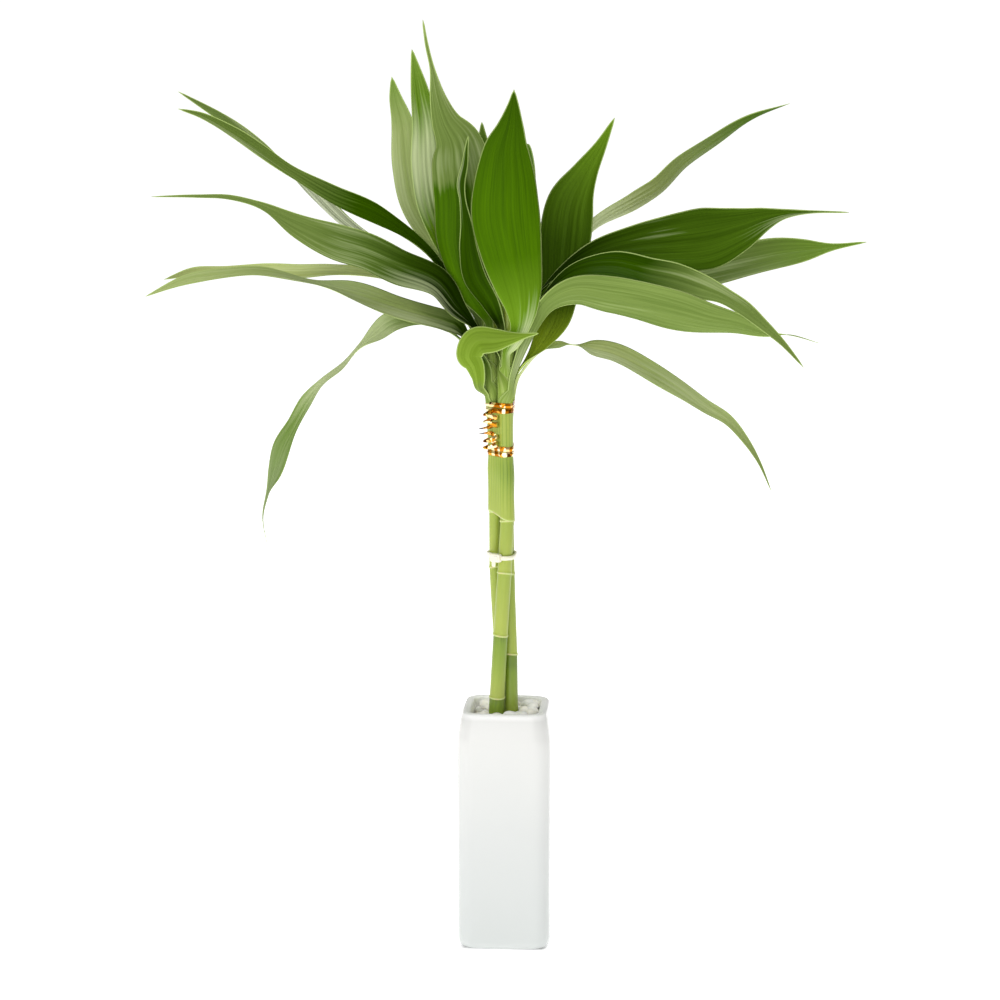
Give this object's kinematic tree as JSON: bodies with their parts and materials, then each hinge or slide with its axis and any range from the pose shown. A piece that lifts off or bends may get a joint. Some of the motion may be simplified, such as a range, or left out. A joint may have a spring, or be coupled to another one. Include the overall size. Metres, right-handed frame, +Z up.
{
  "type": "lucky bamboo plant in a vase",
  "caption": "Ringed green stalks tied into a bundle, with a crown of long pointed leaves, standing in white stones in a tall square vase with rounded edges.",
  "frame": {"origin": "the middle of the vase's flat underside, which stands on the table", "axes": "+Z up the stalks, +X to the right and -Y to the front as the picture shows the plant"},
  "size_m": [0.3811, 0.2166, 0.5016],
  "materials": {
    "white_glazed_ceramic": "gloss",
    "white_stone": "matte",
    "green_stalk": "satin",
    "cream_nylon": "satin",
    "gold_foil": "polished",
    "leaf_dark": "satin",
    "leaf_green": "satin",
    "leaf_pale": "satin"
  },
  "bodies": {
    "root": {"vase": "white_glazed_ceramic", "stone_bed": "white_stone", "stalk_front": "green_stalk", "stalk_right": "green_stalk", "stalk_left": "green_stalk", "zip_tie": "cream_nylon", "gold_tie_upper": "gold_foil", "gold_tie_lower": "gold_foil", "leaf_left_high_near": "leaf_dark", "leaf_left_high_far": "leaf_pale", "leaf_left_broad": "leaf_dark", "leaf_left_low_near": "leaf_pale", "leaf_left_low_far": "leaf_pale", "leaf_left_drooping": "leaf_pale", "leaf_top_outer": "leaf_green", "leaf_top_pleated": "leaf_green", "leaf_top_tallest": "leaf_green", "leaf_young_folded": "leaf_green", "leaf_centre_broad": "leaf_green", "leaf_top_hidden": "leaf_dark", "leaf_right_upright": "leaf_dark", "leaf_right_high": "leaf_pale", "leaf_right_broad": "leaf_dark", "leaf_right_far": "leaf_green", "leaf_right_arching": "leaf_green", "leaf_right_pale": "leaf_pale", "leaf_right_drooping": "leaf_pale", "leaf_front_folded": "leaf_pale", "leaf_back_upright": "leaf_dark", "leaf_back_left": "leaf_dark", "leaf_back_right": "leaf_dark", "leaf_back_low": "leaf_green"}
  },
  "joints": []
}
